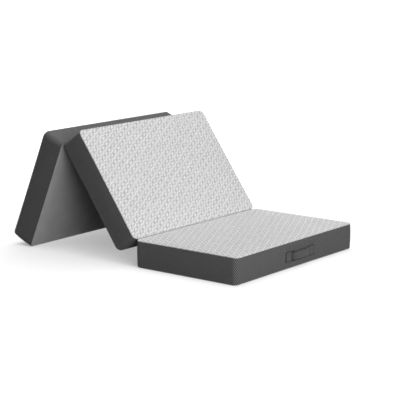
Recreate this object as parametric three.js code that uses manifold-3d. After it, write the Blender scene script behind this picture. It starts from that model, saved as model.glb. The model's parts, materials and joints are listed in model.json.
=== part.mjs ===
// A folding mattress: three foam sections in zipped fabric covers, joined by two fabric folds.
// It stands half open, as a Z: one section lies flat, the middle one leans back on the end one.
// Millimetres, +Z up, +X towards the handle. The origin is the centre of the flat section's underside.
import * as THREE from 'three';
import { mergeVertices } from 'three/addons/utils/BufferGeometryUtils.js';
import Module from 'manifold-3d';

const wasm = await Module();
wasm.setup();

// Sections
const section_length = 628;
const section_width = 1000;
const section_height = 137;
const plan_radius = 28;
const inner_plan_radius = 6;
const side_draw = 1.5;
const crown_run = 110;
const crown_mid_share = 0.35;
const top_crown = 2.5;
const bottom_crown = 1.5;
const arc_steps = 5;
const top_edge_steps = 3;
const lower_edge_steps = 4;
const short_side_steps = 4;
const long_side_steps = 6;

// Cover and foam
const cover_wall = 3;
const top_panel_thickness = 5;
const top_edge_radius = 4;
const bottom_edge_radius = 14;
const tight_edge_radius = 4;
const edge_seam_share = 0.5;
const comfort_thickness = 30;
const seat = 0.3;

// Folds
const middle_lean = THREE.MathUtils.degToRad(54.7);
const fold_half_gap = 0.75;
const top_fold_rise = top_crown + seat;
const bottom_fold_rise = bottom_crown + seat;
const web_thickness = 1;
const web_depth = 9;
const web_top = 1;
const web_arch = 0.5;

// Zips
const zip_end_margin = 54;
const zip_length = section_length - 2 * zip_end_margin;
const zip_height = 46;
const tape_height = 13.4;
const tape_thickness = 1.2;
const recess_depth = 2;
const coil_width = 3.6;
const coil_height = 1.6;
const stop_length = 3;
const stop_height = 5;
const stop_margin = 2;
const stop_lift = 0.3;
const cut_overrun = 1;

// Zip sliders
const slider_length = 13;
const slider_mouth = 10.4;
const slider_tail = 7.6;
const slider_plate = 1.1;
const slider_bevel = 0.4;
const slider_park = 1;
const bridge_opening_length = 4;
const bridge_opening_height = 2.2;
const bridge_band = 1.4;
const bridge_width = 2.4;
const bridge_round = 1.2;
const bridge_root = 0.5;

// Zip pulls
const pull_length = 31;
const pull_thickness = 1.2;
const pull_waist = 5.4;
const pull_end_width = 8;
const pull_arm = 1.7;
const pull_eye_length = 4.4;
const pull_side_gap = 0.9;

// Handle
const handle_length = 250;
const handle_height = 56;
const handle_centre_height = 62;
const handle_offset = 22;
const patch_length = 54;
const patch_thickness = 2.2;
const patch_radius = 4;
const patch_bevel = 0.5;
const leg_room = 10;
const grip_length = handle_length - 2 * (patch_length + leg_room);
const grip_height = 50;
const grip_thickness = 7.5;
const grip_end_thickness = 3.4;
const finger_gap = 6.6;
const grip_ring_steps = 16;
const grip_station_shares = [1, 0.97, 0.88, 0.7];
const leg_thickness = 1;
const leg_pleat = 4;
const leg_steps = 20;

const materials = {
  knit: new THREE.MeshStandardMaterial({ color: 0xd8d8d8, roughness: 0.95, metalness: 0 }),
  border_mesh: new THREE.MeshStandardMaterial({ color: 0x525253, roughness: 0.9, metalness: 0 }),
  bottom_cloth: new THREE.MeshStandardMaterial({ color: 0x7c7c7c, roughness: 0.75, metalness: 0 }),
  comfort_foam: new THREE.MeshStandardMaterial({ color: 0xd9e4ea, roughness: 1, metalness: 0 }),
  support_foam: new THREE.MeshStandardMaterial({ color: 0xf0ead6, roughness: 1, metalness: 0 }),
  strap: new THREE.MeshStandardMaterial({ color: 0x464647, roughness: 0.85, metalness: 0 }),
  zip_coil: new THREE.MeshStandardMaterial({ color: 0x29292a, roughness: 0.6, metalness: 0 }),
  zip_metal: new THREE.MeshStandardMaterial({ color: 0x2b2c2e, roughness: 0.4, metalness: 0.8 }),
};

function named(name, geometry, material) {
  const mesh = new THREE.Mesh(geometry, materials[material]);
  mesh.name = name;
  return mesh;
}

// Joining and cutting
function toSolid(geometry) {
  const bare = geometry.clone();
  bare.deleteAttribute('normal');
  bare.deleteAttribute('uv');
  const merged = mergeVertices(bare);
  const vertProperties = new Float32Array(merged.attributes.position.array);
  const triVerts = new Uint32Array(merged.index.array);
  return new wasm.Manifold(new wasm.Mesh({ numProp: 3, vertProperties, triVerts }));
}

function toGeometry(solid) {
  const mesh = solid.getMesh();
  const geometry = new THREE.BufferGeometry();
  geometry.setAttribute('position', new THREE.BufferAttribute(mesh.vertProperties, 3));
  geometry.setIndex(new THREE.BufferAttribute(mesh.triVerts, 1));
  geometry.computeVertexNormals();
  return geometry;
}

// A closed skin over rings of points: a tube that meets itself, or one capped at both ends
function skin(rings, capped) {
  const count = rings[0].length;
  const points = rings.flat();
  const faces = [];
  const spans = capped ? rings.length - 1 : rings.length;
  for (let r = 0; r < spans; r += 1) {
    const next = (r + 1) % rings.length;
    for (let k = 0; k < count; k += 1) {
      const a = r * count + k;
      const b = r * count + ((k + 1) % count);
      const c = next * count + ((k + 1) % count);
      const d = next * count + k;
      faces.push(a, b, c, a, c, d);
    }
  }
  if (capped) {
    const last = (rings.length - 1) * count;
    const first_centre = points.push(middleOf(rings[0])) - 1;
    const last_centre = points.push(middleOf(rings[rings.length - 1])) - 1;
    for (let k = 0; k < count; k += 1) {
      const next = (k + 1) % count;
      faces.push(first_centre, next, k);
      faces.push(last_centre, last + k, last + next);
    }
  }
  const geometry = new THREE.BufferGeometry().setFromPoints(points);
  geometry.setIndex(faces);
  geometry.computeVertexNormals();
  return geometry;
}

function middleOf(ring) {
  const sum = new THREE.Vector3();
  ring.forEach((point) => sum.add(point));
  return sum.divideScalar(ring.length);
}

// The plan of a section: a rounded rectangle whose walls are drawn in between its corners.
// The sides run +X, far (+Y), -X, near (-Y). Each has its own draw and its own lower edge radius.
function planPoints(sides) {
  const points = [];
  sides.forEach((side, s) => {
    const next = sides[(s + 1) % sides.length];
    const steps = s % 2 ? short_side_steps : long_side_steps;
    for (let k = 1; k < steps; k += 1) {
      points.push({ side: s, along: k / steps, draw: side.draw, edge: side.edge });
    }
    for (let k = 0; k <= arc_steps; k += 1) {
      const turn = k / arc_steps;
      points.push({ corner: s, turn, edge: THREE.MathUtils.lerp(side.edge, next.edge, turn) });
    }
  });
  return points;
}

// One point of the plan, moved in from the wall by an inset
function planPoint(point, inset, z) {
  const radius = Math.max(plan_radius - inset, inner_plan_radius);
  const half_x = section_length / 2 - inset;
  const half_y = section_width / 2 - inset;
  const quarter = Math.PI / 2;
  if (point.corner !== undefined) {
    const angle = (point.corner + point.turn) * quarter;
    const sign_x = point.corner === 0 || point.corner === 3 ? 1 : -1;
    const sign_y = point.corner < 2 ? 1 : -1;
    const x = sign_x * (half_x - radius) + radius * Math.cos(angle);
    const y = sign_y * (half_y - radius) + radius * Math.sin(angle);
    return new THREE.Vector3(x, y, z);
  }
  const angle = point.side * quarter;
  const straight = (point.side % 2 ? half_x : half_y) - radius;
  const wall = point.side % 2 ? half_y : half_x;
  const out = wall - point.draw * 4 * point.along * (1 - point.along);
  const across = (2 * point.along - 1) * straight;
  const x = out * Math.cos(angle) - across * Math.sin(angle);
  const y = out * Math.sin(angle) + across * Math.cos(angle);
  return new THREE.Vector3(x, y, z);
}

// A ring of a section: its inset and height may follow the lower edge's radius round the plan
function planRing(plan, insetAt, heightAt) {
  return plan.map((point) => planPoint(point, insetAt(point.edge), heightAt(point.edge)));
}

function levelRing(plan, inset, z) {
  return planRing(plan, () => inset, () => z);
}

function crownAt(crown, inset) {
  return crown * Math.sin((Math.PI / 2) * Math.min(inset / crown_run, 1));
}

const crown_insets = [crown_mid_share * crown_run, crown_run];

// A ring on a lower edge, at an offset into the section from its outer surface. Its share of the edge's
// arc is 0 on the underside and 1 on the wall. A shift moves it on along the arc.
function lowerEdgeRing(plan, offset, share, shift) {
  const angle = share * (Math.PI / 2);
  const reach = (edge) => Math.max(edge - offset, 0);
  const insetAt = (edge) => edge - reach(edge) * Math.sin(angle) - shift * Math.cos(angle);
  const heightAt = (edge) => edge - reach(edge) * Math.cos(angle) + shift * Math.sin(angle);
  return planRing(plan, insetAt, heightAt);
}

// Rings over a stretch of a lower edge. The ones at its seam leave half of a seat free on either side.
function lowerEdgeRings(plan, offset, from, to) {
  const rings = [];
  for (let k = 0; k <= lower_edge_steps; k += 1) {
    const share = k / lower_edge_steps;
    if (share >= from && share <= to) {
      const at_seam = share === edge_seam_share && to - from < 1;
      const shift = at_seam ? (seat / 2) * Math.sign(from + to - 2 * edge_seam_share) : 0;
      rings.push(lowerEdgeRing(plan, offset, share, shift));
    }
  }
  return rings;
}

function topPanel(plan) {
  const underside = section_height - top_panel_thickness;
  const shoulder = section_height - top_edge_radius;
  const faceRing = (base, inset) => levelRing(plan, inset, base + crownAt(top_crown, inset));
  const rings = [...crown_insets].reverse().map((inset) => faceRing(underside, inset));
  rings.push(levelRing(plan, 0, underside));
  for (let k = 0; k <= top_edge_steps; k += 1) {
    const angle = (k / top_edge_steps) * (Math.PI / 2);
    const inset = top_edge_radius * (1 - Math.cos(angle));
    rings.push(levelRing(plan, inset, shoulder + top_edge_radius * Math.sin(angle)));
  }
  crown_insets.forEach((inset) => rings.push(faceRing(section_height, inset)));
  return skin(rings, true);
}

// A shallow tray: its rim ends halfway round the lower edge, where the border's seam is
function bottomPanel(plan, crown) {
  const underside = crown_insets.map((inset) => levelRing(plan, inset, -crownAt(crown, inset)));
  const floor = crown_insets.map((inset) => levelRing(plan, inset, cover_wall - crownAt(crown, inset)));
  const rings = [
    ...underside.reverse(),
    ...lowerEdgeRings(plan, 0, 0, edge_seam_share),
    ...lowerEdgeRings(plan, cover_wall, 0, edge_seam_share).reverse(),
    ...floor,
  ];
  return skin(rings, true);
}

function border(plan) {
  const high = section_height - top_panel_thickness - seat;
  const rings = [
    ...lowerEdgeRings(plan, 0, edge_seam_share, 1),
    levelRing(plan, 0, high),
    levelRing(plan, cover_wall, high),
    ...lowerEdgeRings(plan, cover_wall, edge_seam_share, 1).reverse(),
  ];
  const recess = new THREE.BoxGeometry(
    zip_length + 2 * seat,
    recess_depth + cut_overrun,
    tape_height + 2 * seat,
  );
  recess.translate(0, section_width / 2 - (recess_depth - cut_overrun) / 2, zip_height);
  return toGeometry(toSolid(skin(rings, false)).subtract(toSolid(recess)));
}

const comfort_top = section_height - top_panel_thickness - seat;
const comfort_base = comfort_top - comfort_thickness;

function comfortFoam(plan) {
  const inset = cover_wall + seat;
  const rings = [levelRing(plan, inset, comfort_base), levelRing(plan, inset, comfort_top)];
  crown_insets.forEach((mid) => rings.push(levelRing(plan, mid, comfort_top + crownAt(top_crown, mid))));
  return skin(rings, true);
}

function supportFoam(plan, crown) {
  const offset = cover_wall + seat;
  const underside = crown_insets.map((inset) => levelRing(plan, inset, offset - crownAt(crown, inset)));
  const rings = [
    ...underside.reverse(),
    ...lowerEdgeRings(plan, offset, 0, 1),
    levelRing(plan, offset, comfort_base - seat),
  ];
  return skin(rings, true);
}

// Zips: x runs along the zip, y points out of the wall, z up. The origin is on the wall's face.
const tape_back = seat - recess_depth;
const tape_front = tape_back + tape_thickness;
const coil_front = tape_front + coil_height;

function box(size, centre) {
  return new THREE.BoxGeometry(...size).translate(...centre);
}

function zipTape() {
  const tape = box([zip_length, tape_thickness, tape_height], [0, (tape_back + tape_front) / 2, 0]);
  const middle = (tape_back + coil_front) / 2;
  const coil = box([zip_length - 2 * stop_margin, coil_front - tape_back, coil_width], [0, middle, 0]);
  let solid = toSolid(tape).add(toSolid(coil));
  for (const end of [-1, 1]) {
    const x = end * (zip_length / 2 - stop_margin - stop_length / 2);
    const size = [stop_length, coil_front - tape_back + stop_lift, stop_height];
    solid = solid.add(toSolid(box(size, [x, middle + stop_lift / 2, 0])));
  }
  return toGeometry(solid);
}

const slider_base = tape_front + seat;
const slider_top = coil_front + seat + slider_plate;
const pull_axis = slider_top + bridge_opening_height / 2;

// A shape drawn in x and z, extruded outwards along y from a base
function outwards(shape, base, thickness, bevel) {
  const bevels = { bevelEnabled: bevel > 0, bevelThickness: bevel, bevelSize: bevel, bevelOffset: -bevel };
  const options = { depth: thickness - 2 * bevel, ...bevels, bevelSegments: 1, curveSegments: arc_steps };
  const geometry = new THREE.ExtrudeGeometry(shape, options);
  return geometry.rotateX(Math.PI / 2).translate(0, base + thickness - bevel, 0);
}

function sliderBody() {
  const half = slider_length / 2;
  const corner = slider_tail / 4;
  const shape = new THREE.Shape();
  shape.moveTo(-half, slider_tail / 2 - corner);
  shape.quadraticCurveTo(-half, slider_tail / 2, corner - half, slider_tail / 2);
  shape.lineTo(half - 2 * corner, slider_mouth / 2);
  shape.quadraticCurveTo(half, slider_mouth / 2, half, slider_mouth / 2 - 2 * corner);
  shape.lineTo(half, 2 * corner - slider_mouth / 2);
  shape.quadraticCurveTo(half, -slider_mouth / 2, half - 2 * corner, -slider_mouth / 2);
  shape.lineTo(corner - half, -slider_tail / 2);
  shape.quadraticCurveTo(-half, -slider_tail / 2, -half, corner - slider_tail / 2);
  shape.closePath();
  const body = outwards(shape, slider_base, slider_top - slider_base, slider_bevel);
  const channel_roof = coil_front + seat;
  const channel_depth = channel_roof - slider_base + cut_overrun;
  const channel = box(
    [slider_length + 2 * cut_overrun, channel_depth, coil_width + 2 * seat],
    [0, channel_roof - channel_depth / 2, 0],
  );
  return toSolid(body).subtract(toSolid(channel));
}

function sliderBridge() {
  const inner = bridge_opening_length / 2;
  const outer = inner + bridge_band;
  const top = bridge_opening_height + bridge_band;
  const shape = new THREE.Shape();
  shape.moveTo(-outer, -bridge_root);
  shape.lineTo(-outer, top - bridge_round);
  shape.quadraticCurveTo(-outer, top, bridge_round - outer, top);
  shape.lineTo(outer - bridge_round, top);
  shape.quadraticCurveTo(outer, top, outer, top - bridge_round);
  shape.lineTo(outer, -bridge_root);
  shape.lineTo(inner, -bridge_root);
  shape.lineTo(inner, bridge_opening_height);
  shape.lineTo(-inner, bridge_opening_height);
  shape.lineTo(-inner, -bridge_root);
  shape.closePath();
  const options = { depth: bridge_width, bevelEnabled: false, curveSegments: 3 };
  const arch = new THREE.ExtrudeGeometry(shape, options).translate(0, slider_top, -bridge_width / 2);
  return toSolid(arch);
}

function zipSlider() {
  return toGeometry(sliderBody().add(sliderBridge()));
}

// The pull: its end bar turns in the slider's bridge, and its tab lies along +x from there
function zipPull() {
  const bar = pull_thickness / 2;
  const eye = bridge_width / 2 + pull_side_gap;
  const shoulder = eye + pull_arm;
  const eye_end = bar + pull_eye_length;
  const waist = pull_waist / 2;
  const tip = pull_end_width / 2;
  const shape = new THREE.Shape();
  shape.moveTo(-bar, -shoulder);
  shape.lineTo(eye_end, -shoulder);
  shape.quadraticCurveTo(eye_end + pull_arm, -shoulder, eye_end + 2 * pull_arm, -waist);
  shape.lineTo(pull_length - tip, -tip);
  shape.absarc(pull_length - tip, 0, tip, -Math.PI / 2, Math.PI / 2, false);
  shape.lineTo(eye_end + 2 * pull_arm, waist);
  shape.quadraticCurveTo(eye_end + pull_arm, shoulder, eye_end, shoulder);
  shape.lineTo(-bar, shoulder);
  shape.closePath();
  const hole = new THREE.Path();
  hole.moveTo(bar, -eye);
  hole.lineTo(bar, eye);
  hole.lineTo(eye_end, eye);
  hole.lineTo(eye_end, -eye);
  hole.closePath();
  shape.holes.push(hole);
  return outwards(shape, pull_axis - bar, pull_thickness, 0);
}

// The slider parks at the zip's lower end, and the pull hangs from it. +1 is the +X end.
function addZip(group, name, park) {
  const zip = new THREE.Group();
  zip.position.set(0, section_width / 2, zip_height);
  group.add(zip);
  zip.add(named(`${name}_zip`, zipTape(), 'zip_coil'));
  const parked = new THREE.Group();
  const end = zip_length / 2 - stop_margin - stop_length - slider_park - slider_length / 2;
  parked.position.x = park * end;
  parked.rotation.y = park < 0 ? Math.PI : 0;
  zip.add(parked);
  parked.add(named(`${name}_zip_slider`, zipSlider(), 'zip_metal'));
  parked.add(named(`${name}_zip_pull`, zipPull(), 'zip_metal'));
}

function section(name, sides, crown, park) {
  const plan = planPoints(sides);
  const group = new THREE.Group();
  group.add(named(`${name}_top_panel`, topPanel(plan), 'knit'));
  group.add(named(`${name}_border`, border(plan), 'border_mesh'));
  group.add(named(`${name}_bottom_panel`, bottomPanel(plan, crown), 'bottom_cloth'));
  group.add(named(`${name}_comfort_foam`, comfortFoam(plan), 'comfort_foam'));
  group.add(named(`${name}_support_foam`, supportFoam(plan, crown), 'support_foam'));
  addZip(group, name, park);
  return group;
}

// A fold's web, drawn round the fold's axis: the first section lies on the +x side under the axis, and
// the second one on the -x side, turned up about the axis by an angle. side is -1 for a fold below.
function foldWeb(rise, angle, side) {
  const outer = fold_half_gap - seat;
  const inner = outer - web_thickness;
  const near = [
    new THREE.Vector2(inner, -rise - web_depth),
    new THREE.Vector2(outer, -rise - web_depth),
    new THREE.Vector2(outer, -rise - web_top),
  ];
  const under = new THREE.Vector2(inner, -rise - web_top - web_thickness);
  const turned = (point) => new THREE.Vector2(-point.x, point.y).rotateAround(new THREE.Vector2(), -angle);
  const crease = near[2].clone().add(turned(near[2])).divideScalar(2);
  const bisector = new THREE.Vector2(Math.sin(angle / 2), Math.cos(angle / 2));
  const points = [
    ...near,
    crease.addScaledVector(bisector, web_arch),
    ...near.map(turned).reverse(),
    turned(under),
    under,
  ];
  const shape = new THREE.Shape(points.map((point) => new THREE.Vector2(point.x, side * point.y)));
  const length = section_width - 2 * plan_radius;
  const web = new THREE.ExtrudeGeometry(shape, { depth: length, bevelEnabled: false });
  return web.rotateX(Math.PI / 2).translate(0, length / 2, 0);
}

// Handle: y runs along the strap, x points out of the wall, z up. The origin is on the wall's face.
function patch(end) {
  const x = patch_length / 2 - patch_radius;
  const y = handle_height / 2 - patch_radius;
  const quarter = Math.PI / 2;
  const shape = new THREE.Shape();
  [[x, y], [-x, y], [-x, -y], [x, -y]].forEach(([corner_x, corner_y], k) => {
    shape.absarc(corner_x, corner_y, patch_radius, k * quarter, (k + 1) * quarter, false);
  });
  shape.closePath();
  const plate = outwards(shape, 0, patch_thickness, patch_bevel);
  plate.rotateZ(-Math.PI / 2);
  return plate.translate(seat, end * (handle_length - patch_length) / 2, 0);
}

// The padded grip: rings along y, thin at the ends, with a flat back
function grip() {
  const half = grip_length / 2;
  const near_shares = grip_station_shares.map((share) => -share);
  const stations = [...near_shares, 0, ...[...grip_station_shares].reverse()];
  const rings = stations.map((share) => {
    const swell = Math.sqrt(Math.min(1, 4 * (1 - Math.abs(share))));
    const thickness = THREE.MathUtils.lerp(grip_end_thickness, grip_thickness, swell);
    const ring = [];
    for (let k = 0; k < grip_ring_steps; k += 1) {
      const angle = (2 * Math.PI * (k + 0.5)) / grip_ring_steps;
      const across = Math.sign(Math.cos(angle)) * Math.sqrt(Math.abs(Math.cos(angle)));
      const up = Math.sign(Math.sin(angle)) * Math.sqrt(Math.abs(Math.sin(angle)));
      const x = finger_gap + (thickness / 2) * (1 + across);
      ring.push(new THREE.Vector3(x, share * half, (grip_height / 2) * up));
    }
    return ring;
  });
  return skin(rings.reverse(), true);
}

// A leg: a ribbon from the patch to the grip, with a pleat that gives it slack
function leg(end) {
  const run = (handle_length - grip_length) / 2 - patch_length - 2 * seat;
  const low = seat + patch_thickness / 2;
  const high = finger_gap + grip_end_thickness / 2;
  const rise = (2 * Math.PI * leg_pleat) / run;
  const left = [];
  const right = [];
  for (let k = 0; k <= leg_steps; k += 1) {
    const share = k / leg_steps;
    const wave = 2 * Math.PI * share;
    const out = THREE.MathUtils.lerp(low, high, share) + leg_pleat * Math.sin(wave);
    const level = k === 0 || k === leg_steps;
    const slope = level ? 0 : (high - low) / run + rise * Math.cos(wave);
    const normal = new THREE.Vector2(-slope, 1).setLength(leg_thickness / 2);
    left.push(new THREE.Vector2(share * run + normal.x, out + normal.y));
    right.push(new THREE.Vector2(share * run - normal.x, out - normal.y));
  }
  const shape = new THREE.Shape([...right, ...left.reverse()]);
  const ribbon = new THREE.ExtrudeGeometry(shape, { depth: grip_height, bevelEnabled: false });
  ribbon.translate(-run - seat - grip_length / 2, 0, -grip_height / 2);
  ribbon.rotateZ(Math.PI / 2).rotateY(Math.PI);
  return end < 0 ? ribbon : ribbon.rotateX(Math.PI);
}

// The draw of a wall at a place across it, for what is sewn on
function drawAt(across) {
  const straight = section_width / 2 - plan_radius;
  return side_draw * (1 - (across / straight) ** 2);
}

function addHandle(group) {
  const handle = new THREE.Group();
  const wall = section_length / 2 - drawAt(handle_length / 2 + handle_offset);
  handle.position.set(wall, handle_offset, handle_centre_height);
  group.add(handle);
  handle.add(named('handle_grip', grip(), 'strap'));
  handle.add(named('handle_patch_near', patch(-1), 'strap'));
  handle.add(named('handle_patch_far', patch(1), 'strap'));
  handle.add(named('handle_leg_near', leg(-1), 'strap'));
  handle.add(named('handle_leg_far', leg(1), 'strap'));
}

// The end section leans so that its rounded lower edge just touches the ground
function endLean() {
  const rise = (2 * fold_half_gap + section_length) * Math.sin(middle_lean);
  const drop = (section_height + top_fold_rise + bottom_fold_rise) * Math.cos(middle_lean);
  const apex = section_height + top_fold_rise + rise - drop;
  const along = fold_half_gap + section_length - bottom_edge_radius;
  const across = bottom_fold_rise + bottom_edge_radius;
  return Math.atan2(across, along) + Math.asin((apex - bottom_edge_radius) / Math.hypot(along, across));
}

// Walls: an end is well rounded below, and the sides and the walls at the lower fold are tight there
const drawn_end = { draw: side_draw, edge: bottom_edge_radius };
const straight_end = { draw: 0, edge: bottom_edge_radius };
const drawn_side = { draw: side_draw, edge: tight_edge_radius };
const straight_side = { draw: 0, edge: tight_edge_radius };
const folded = { draw: 0, edge: tight_edge_radius };
const half_pitch = section_length / 2 + fold_half_gap;
const end_lean = endLean();

const mattress = new THREE.Group();

const flat = section('flat', [drawn_end, straight_side, straight_end, drawn_side], 0, 1);
addHandle(flat);
mattress.add(flat);

const top_fold = new THREE.Group();
top_fold.position.set(-half_pitch, 0, section_height + top_fold_rise);
top_fold.add(named('top_fold_web', foldWeb(top_fold_rise, middle_lean, 1), 'knit'));
mattress.add(top_fold);

const middle_turn = new THREE.Group();
middle_turn.rotation.y = middle_lean;
top_fold.add(middle_turn);
const middle = section('middle', [straight_end, straight_side, folded, drawn_side], bottom_crown, 1);
middle.position.set(-half_pitch, 0, -section_height - top_fold_rise);
middle_turn.add(middle);

const bottom_fold = new THREE.Group();
bottom_fold.position.set(-half_pitch, 0, -bottom_fold_rise);
const bottom_web = foldWeb(bottom_fold_rise, middle_lean + end_lean, -1);
bottom_fold.add(named('bottom_fold_web', bottom_web, 'border_mesh'));
middle.add(bottom_fold);

const end_turn = new THREE.Group();
end_turn.rotation.y = -middle_lean - end_lean;
bottom_fold.add(end_turn);
const end = section('end', [folded, straight_side, drawn_end, drawn_side], bottom_crown, -1);
end.position.set(-half_pitch, 0, bottom_fold_rise);
end_turn.add(end);

export default mattress;
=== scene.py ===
# A folding mattress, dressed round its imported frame: covers, foams, folds, handle and zips. In metres.
import json
import math
from collections import namedtuple

import bmesh
import bpy
import numpy as np
from mathutils import Matrix, Vector


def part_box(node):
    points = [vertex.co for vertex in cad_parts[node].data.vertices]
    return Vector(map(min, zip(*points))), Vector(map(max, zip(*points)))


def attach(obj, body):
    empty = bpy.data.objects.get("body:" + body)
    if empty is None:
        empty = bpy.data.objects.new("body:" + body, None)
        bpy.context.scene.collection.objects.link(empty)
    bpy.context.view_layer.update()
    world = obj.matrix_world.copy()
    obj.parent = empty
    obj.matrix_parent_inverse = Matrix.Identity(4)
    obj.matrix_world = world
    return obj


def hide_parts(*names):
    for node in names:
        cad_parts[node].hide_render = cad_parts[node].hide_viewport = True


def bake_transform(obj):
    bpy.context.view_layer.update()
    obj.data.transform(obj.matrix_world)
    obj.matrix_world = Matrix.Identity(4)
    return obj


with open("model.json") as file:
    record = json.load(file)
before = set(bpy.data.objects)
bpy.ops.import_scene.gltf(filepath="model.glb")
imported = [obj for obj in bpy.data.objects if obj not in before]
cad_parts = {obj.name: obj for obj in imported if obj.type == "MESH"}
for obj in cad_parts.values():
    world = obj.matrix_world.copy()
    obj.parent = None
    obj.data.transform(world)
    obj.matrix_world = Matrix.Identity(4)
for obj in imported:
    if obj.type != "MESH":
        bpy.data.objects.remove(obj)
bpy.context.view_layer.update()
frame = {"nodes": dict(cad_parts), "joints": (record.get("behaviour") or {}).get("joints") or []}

joints = {joint["name"]: joint for joint in frame["joints"]}

# Sizes that the frame gives
border_low, border_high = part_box("flat_border")
length = border_high.x - border_low.x
width = border_high.y - border_low.y
border_top = border_high.z
top_panel_thickness = 0.005
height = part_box("flat_top_panel")[0].z + top_panel_thickness
half_pitch = -joints["top_fold"]["pos_m"][0]
zip_low, zip_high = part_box("flat_zip")
zip_length = zip_high.x - zip_low.x
zip_middle = (zip_high.z + zip_low.z) / 2
zip_half_height = (zip_high.z - zip_low.z) / 2
seam_gap = 0.0003

# Section form
plan_radius = 0.028
inner_plan_radius = 0.006
side_draw = 0.0015
draw_reach = 0.08
crown_run = 0.11
top_crown = 0.0025
bottom_crown = 0.0015
top_edge_radius = 0.004
bottom_edge_radius = 0.014
tight_edge_radius = 0.004
wall_bulge = 0.003
cover_wall = 0.003
seam_depth = 0.0009
seam_width = 0.0012
seam_share = 0.12
knit_inner_rings = (0.24, 0.12, 0.05, 0.015)
bottom_inner_rings = (0.04, 0.11, 0.2)
bottom_rim = 0.004
lower_row_share = 0.2
comfort_thickness = 0.03
foam_cut_edge = 0.0015
foam_least_edge = 0.0008

# The recess in the far wall that holds the zip
recess_depth = 0.002
recess_lip = 0.0004
recess_half = zip_length / 2 + seam_gap
recess_rise = zip_half_height + seam_gap

# Handle
handle_length = 0.25
handle_height = 0.056
handle_lift = 0.062
handle_offset = 0.022
handle_fade = 0.03
patch_length = 0.054
grip_height = 0.05

# Fineness of the meshes
knit_step = 0.00272
mesh_step = 0.0025
cloth_step = 0.008
foam_step = 0.014
patch_step = 0.0011
edge_points = 5
wall_edge_points = 7
grip_points = 105
grip_turns = 144
leg_points = 49
leg_steps = 34
tape_points = 54
tape_steps = 260
web_steps = 236

# The slow wander of each surface: its height, and the length of its waves
knit_wander = (0.0002, 0.16)
mesh_wander = (0.0003, 0.21)
bottom_wander = (0.00015, 0.2)
foam_wander = (0.0004, 0.09)
patch_wander = (0.0002, 0.03)
grip_wander = (0.00025, 0.05)

# Knit: strokes round a hollow. Rises and levels join in a wavy band, and lone strokes stand between bands. A
# stroke is its place across and along, in shares of the repeat, its tilt, its half length and half width
knit_along = 0.0355
knit_across = 0.0671
knit_along_phase = 0.0136
knit_across_phase = -0.374
knit_relief = 0.0014
knit_ridge = 0.7
knit_drift = 0.0032
knit_drift_along = 0.41
knit_drift_across = 0.53
knit_lone = (0.25, -0.25, -43, 0.0125, 0.0047)
knit_rise = (0.0, 0.5, -62, 0.0122, 0.0038)
knit_level = (0.25, 0.25, -3, 0.0135, 0.0040)

# Mesh border: a staggered lattice of shallow dents
dent_width = 0.0102
dent_height = 0.0135
dent_depth = 0.00035
dent_fade = 0.006


# Limits for formulas
tiny = 1e-6
far_off = 9.0


def smooth_step(value, low, high):
    share = np.clip((value - low) / (high - low), 0, 1)
    return share * share * (3 - 2 * share)


# Formulas that work on arrays, for shapes, and on nodes, for looks
array_steps = {
    "SUBTRACT": np.subtract,
    "MULTIPLY": np.multiply,
    "MULTIPLY_ADD": lambda first, second, third: first * second + third,
    "MINIMUM": np.minimum,
    "ABSOLUTE": np.abs,
    "SINE": np.sin,
    "COSINE": np.cos,
    "WRAP": lambda value, high, low: low + (value - low) % (high - low),
}


def on_arrays(step, *values):
    """One step of a formula, on arrays. Nodes.math is the same step in nodes."""
    return array_steps[step](*values)


def wave(calc, value, period):
    return calc("COSINE", calc("MULTIPLY", value, math.tau / period))


def lattice(calc, first, second, first_period, second_period):
    """A product of two waves: a staggered lattice from -1 to 1."""
    return calc("MULTIPLY", wave(calc, first, first_period), wave(calc, second, second_period))


def strokes(calc, along, across):
    """How far inside a leaf-shaped stroke of the knit a point lies: 1 in its middle, 0 on its outline."""
    turn_along = calc("MULTIPLY", along, math.tau / knit_drift_along)
    drift_along, drift_across = (
        calc("SINE", calc("MULTIPLY_ADD", across, turns * math.tau / knit_drift_across, turn_along))
        for turns in (1, -2))
    along = calc("MULTIPLY_ADD", drift_along, knit_drift, along)
    across = calc("MULTIPLY_ADD", drift_across, knit_drift, across)
    nearest = far_off
    for across_share, along_share, tilt, half_length, half_width in (knit_lone, knit_rise, knit_level):
        cos, sin = math.cos(math.radians(tilt)), math.sin(math.radians(tilt))
        for shift in (0, 0.5):
            x = calc("SUBTRACT", across, knit_across_phase + (across_share + shift) * knit_across)
            y = calc("SUBTRACT", along, knit_along_phase + (along_share + shift) * knit_along)
            x = calc("WRAP", x, knit_across / 2, -knit_across / 2)
            y = calc("WRAP", y, knit_along / 2, -knit_along / 2)
            run = calc("MULTIPLY_ADD", x, cos / half_length, calc("MULTIPLY", y, sin / half_length))
            side = calc("MULTIPLY_ADD", y, cos / half_width, calc("MULTIPLY", x, -sin / half_width))
            reach = calc("MULTIPLY_ADD", run, run, calc("ABSOLUTE", side))
            nearest = calc("MINIMUM", nearest, reach)
    return calc("SUBTRACT", 1.0, nearest)


def soft_waves(x, y, form, seed):
    """A slow wander to either side, made of a few long waves of the form's height and length."""
    high, scale = form
    draw = np.random.default_rng(seed)
    total = 0.0
    count = 7
    for wave_number in range(count):
        angle, phase = draw.uniform(0, math.tau, 2)
        run = scale * draw.uniform(0.7, 1.6)
        total = total + np.sin(math.tau * (x * math.cos(angle) + y * math.sin(angle)) / run + phase)
    return high * total / math.sqrt(2 * count)


# Where the sections stand
def turned(name):
    """How a fold turns what lies beyond it, from lying flat to the rest pose."""
    joint = joints[name]
    place = Matrix.Translation(Vector(joint["pos_m"]))
    turn = Matrix.Rotation(-math.radians(joint["range_deg"][0]), 4, Vector(joint["axis"]))
    return place @ turn @ place.inverted()


along_one = Matrix.Translation((-2 * half_pitch, 0, 0))
flat_place = Matrix.Identity(4)
middle_place = turned("top_fold") @ along_one
end_place = turned("bottom_fold") @ middle_place @ along_one

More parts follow.
